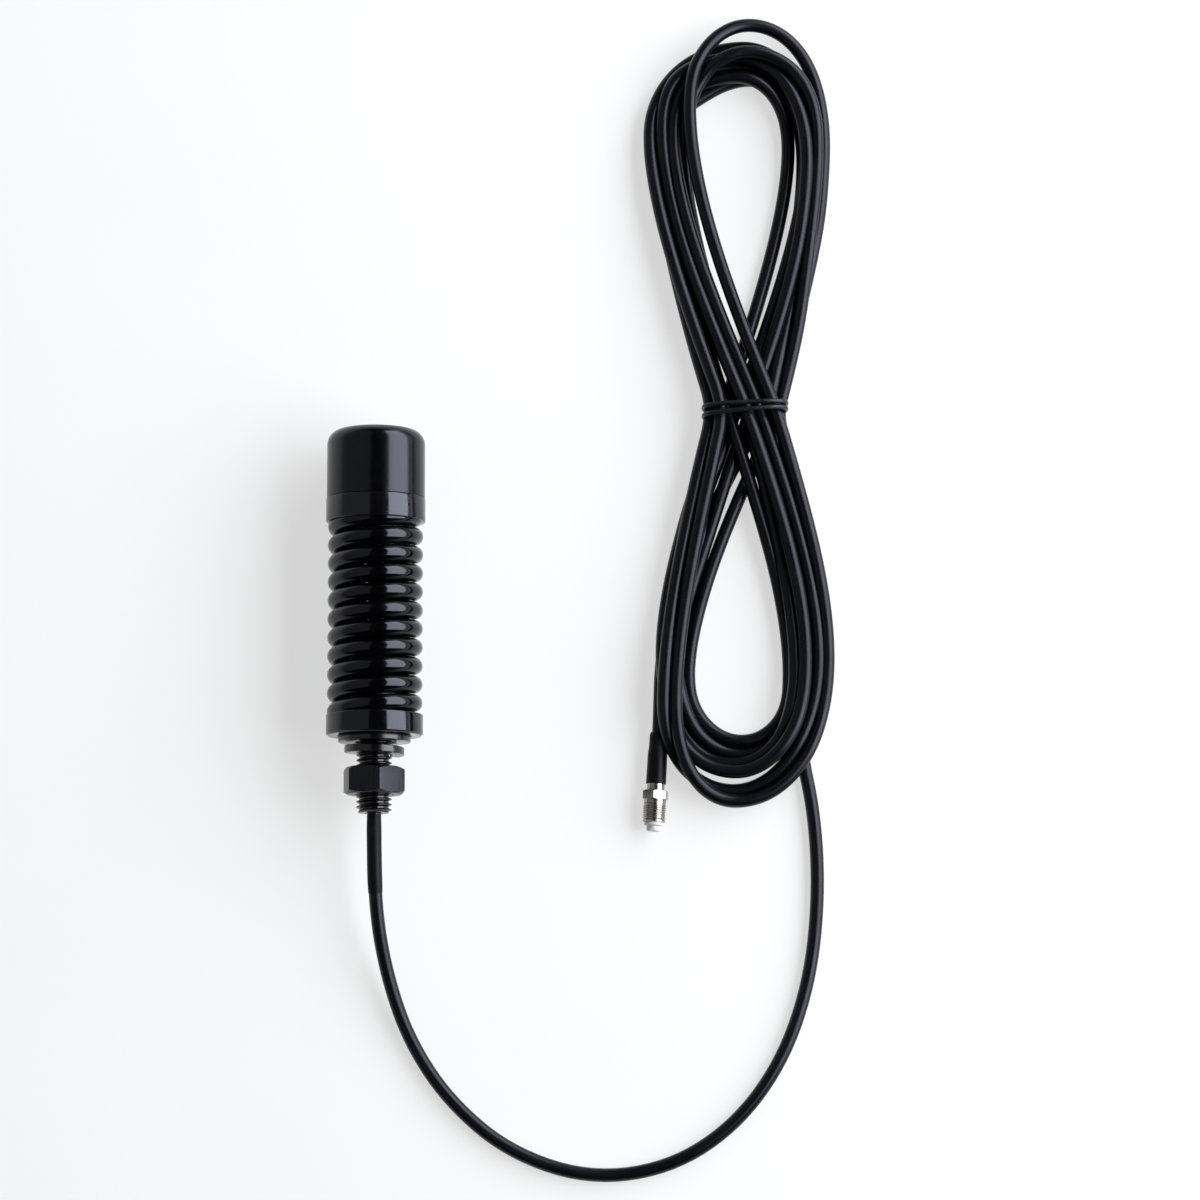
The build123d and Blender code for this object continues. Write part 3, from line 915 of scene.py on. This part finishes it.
def make_nut():
    """A hexagon nut: drawn flats, both faces chamfered, countersunk and threaded."""
    face_radius = 0.475 * NUT_FLATS
    mouth = 6.76
    around = []
    for angle, radius in hexagon(NUT_FLATS, 0.35, NUT_CORNER_ANGLE):
        bevel = max(radius - face_radius, 0.02) * math.tan(math.radians(30))
        section = outline(
            (mouth, NUT_BOTTOM, 0),
            (face_radius, NUT_BOTTOM, 0.15),
            (radius, NUT_BOTTOM + bevel, 0.12),
            (radius, NUT_TOP - bevel, 0.12),
            (face_radius, NUT_TOP, 0.15),
            (mouth, NUT_TOP, 0),
        )
        around.append([turned(angle, r, y) for r, y in section])
    rings = [list(ring) for ring in zip(*around)]
    root, crest = STUD_ROOT + THREAD_PLAY, STUD_CREST + THREAD_PLAY
    bore = thread(root, crest, STUD_PITCH, NUT_BOTTOM, NUT_TOP, mouth, len(around))
    parts = [grid(rings, wrap=False), bore]
    made = piece("hex_nut_skin", parts, NUT_PLATE, sharp=28)
    return stands_for(made, "hex_nut", "black_enamel", "hex_nut")


make_plain_washer()
make_lock_washer()
make_nut()


# ------------------------------------------------------------ spring
def make_half_spring(name, first_turn, last_turn, ground, keeps_above):
    """Half of the spring's wire. Its outer end is ground flat where it meets a collar."""
    rings = []
    steps = math.ceil(56 * (last_turn - first_turn))
    sides, flat = 28, 6
    for k in range(steps + 1):
        turn = first_turn + (last_turn - first_turn) * k / steps
        height = COIL_FRONT + COIL_PITCH * turn
        room = height - ground if keeps_above else ground - height
        low = -math.pi / 2 if room >= WIRE_RADIUS else math.asin(max(-room / WIRE_RADIUS, -1))
        low = min(low, math.pi / 2 - 0.02)
        arc = [low + (math.pi - 2 * low) * i / sides for i in range(sides + 1)]
        section = [(WIRE_RADIUS * math.cos(a), WIRE_RADIUS * math.sin(a)) for a in arc]
        start, end = section[-1], section[0]
        for i in range(1, flat):
            share = i / flat
            section.append((start[0] + (end[0] - start[0]) * share, start[1]))
        up = 1 if keeps_above else -1
        ring = [turned(FULL_TURN * turn, COIL_RADIUS + out, height + up * y) for out, y in section]
        rings.append(ring)
    return piece(name, [capped(rings)], SPRING, sharp=40)


def make_half_coax(name, low, high):
    line = [Vector((0, low + (high - low) * k / 60, 0)) for k in range(61)]
    return piece(name, [capped(tube(line, [CABLE_RADIUS] * len(line)))], JACKET)


def bends(made, node):
    """Hides the CAD node and bakes the piece's placement into its mesh."""
    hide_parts(node)
    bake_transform(made)


coil_middle = (LOWER_FLEX + UPPER_FLEX) / 2
middle_turn = (coil_middle - COIL_FRONT) / COIL_PITCH
lowest_turn = (COIL_LOW - WIRE_RADIUS - COIL_FRONT) / COIL_PITCH
highest_turn = (COIL_HIGH + WIRE_RADIUS - COIL_FRONT) / COIL_PITCH

lower_spring = make_half_spring("spring_lower_half", lowest_turn, middle_turn, COIL_LOW, True)
upper_spring = make_half_spring("spring_upper_half", middle_turn, highest_turn, COIL_HIGH, False)
lower_coax = make_half_coax("inner_coax_lower", -14.0, coil_middle)
upper_coax = make_half_coax("inner_coax_upper", coil_middle, 72.0)
bends(lower_spring, "spring_coil")
bends(upper_spring, "spring_coil")
bends(lower_coax, "inner_coax")
bends(upper_coax, "inner_coax")


# ------------------------------------------------------------ head
def make_upper_collar():
    groove_low, groove_high = HEAD_HIGH + 1.8, HEAD_HIGH + 3.6
    section = outline(
        (COLLAR_BORE, HEAD_LOW, 0.3),
        (HEAD_RADIUS, HEAD_LOW, 0.45),
        (HEAD_RADIUS, HEAD_HIGH, 0.3),
        (SPIGOT_RADIUS, HEAD_HIGH, 0),
        (SPIGOT_RADIUS, groove_low, 0),
        (SPIGOT_RADIUS - 1.15, groove_low, 0),
        (SPIGOT_RADIUS - 1.15, groove_high, 0),
        (SPIGOT_RADIUS, groove_high, 0),
        (SPIGOT_RADIUS, HEAD_HIGH + 7.4, 0.5),
        (12.0, HEAD_HIGH + 7.4, 0.2),
        (12.0, HEAD_HIGH - 0.4, 0),
        (COLLAR_BORE, HEAD_HIGH - 0.4, 0),
    )
    made = piece("upper_collar_skin", [grid(lathe(section, 128))], CHROME)
    return stands_for(made, "head", "black_chrome", "upper_collar")


def make_cap():
    """The moulded radome: a deep cup with a large outer edge radius."""
    section = outline(
        (0.0, CAP_HIGH - CAP_ROOF, 0),
        (0.0, CAP_HIGH, 0),
        (CAP_RADIUS, CAP_HIGH, CAP_EDGE),
        (CAP_RADIUS, CAP_LOW, 0.25),
        (CAP_RADIUS - CAP_WALL, CAP_LOW, 0.15),
        (CAP_RADIUS - CAP_WALL, CAP_HIGH - CAP_ROOF, CAP_EDGE - CAP_WALL),
    )
    made = piece("radome_cap_skin", [grid(lathe(section, 128))], RADOME)
    return stands_for(made, "head", "radome_plastic", "radome_cap")


make_upper_collar()
make_cap()


# ------------------------------------------------------------ pieces kept from the CAD
for node, material in CARRIED_OVER.items():
    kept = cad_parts[node]
    kept.data.materials.clear()
    kept.data.materials.append(material)
    kept.data.shade_smooth()
    kept.data.set_sharp_from_angle(angle=math.radians(30))


# ------------------------------------------------------------ floor and light
LIT_FROM = Vector((0.06, 0.94, 0))


def make_floor():
    made = Surface("floor_acrylic", (0.27, 0.27, 0.27), 0.8)
    made.colours(made.noise(8, 3), (0.262, 0.262, 0.264), (0.274, 0.274, 0.274))
    made.shader.inputs["Emission Color"].default_value = (1, 1, 1, 1)
    made.shader.inputs["Emission Strength"].default_value = 0.62
    half, height = 3.0, FLOOR_Z * MM - 1e-5
    mesh = bpy.data.meshes.new("floor")
    signs = ((-1, -1), (1, -1), (1, 1), (-1, 1))
    corners = [(x * half, y * half, height) for x, y in signs]
    mesh.from_pydata(corners, [], [(0, 1, 2, 3)])
    mesh.materials.append(made.material)
    floor = bpy.data.objects.new("floor", mesh)
    scene.collection.objects.link(floor)


def soft_box(name, lean, distance, width, length, radiance):
    """A rectangular light, in metres, that leans from overhead towards +X by that many degrees."""
    data = bpy.data.lights.new(name, "AREA")
    data.shape = "RECTANGLE"
    data.size = width
    data.size_y = length
    data.energy = radiance * math.pi * width * length
    data.color = (0.95, 0.97, 1)
    light = bpy.data.objects.new(name, data)
    facing = Matrix.Rotation(math.radians(lean), 4, "Y")
    away = Matrix.Translation(Vector((0, 0, distance)))
    light.matrix_world = Matrix.Translation(LIT_FROM) @ facing @ away
    scene.collection.objects.link(light)


def make_world():
    """A dark ceiling that brightens to a pale wall at the horizon."""
    world = bpy.data.worlds.new("studio")
    world.use_nodes = True
    nodes, links = world.node_tree.nodes, world.node_tree.links
    height = nodes.new("ShaderNodeSeparateXYZ")
    links.new(nodes.new("ShaderNodeTexCoord").outputs["Generated"], height.inputs["Vector"])
    fade = nodes.new("ShaderNodeMapRange")
    fade.interpolation_type = "SMOOTHSTEP"
    fade.inputs["From Min"].default_value = 0.0
    fade.inputs["From Max"].default_value = 0.16
    fade.inputs["To Min"].default_value = 0.8
    fade.inputs["To Max"].default_value = 0.012
    links.new(height.outputs["Z"], fade.inputs["Value"])
    links.new(fade.outputs["Result"], nodes["Background"].inputs["Strength"])
    nodes["Background"].inputs["Color"].default_value = (0.97, 0.98, 1, 1)
    scene.world = world


make_floor()
make_world()
soft_box("right_box", 56, 1.2, 1.15, 3.0, 7.0)
soft_box("left_box", -49, 1.3, 1.9, 3.4, 0.36)
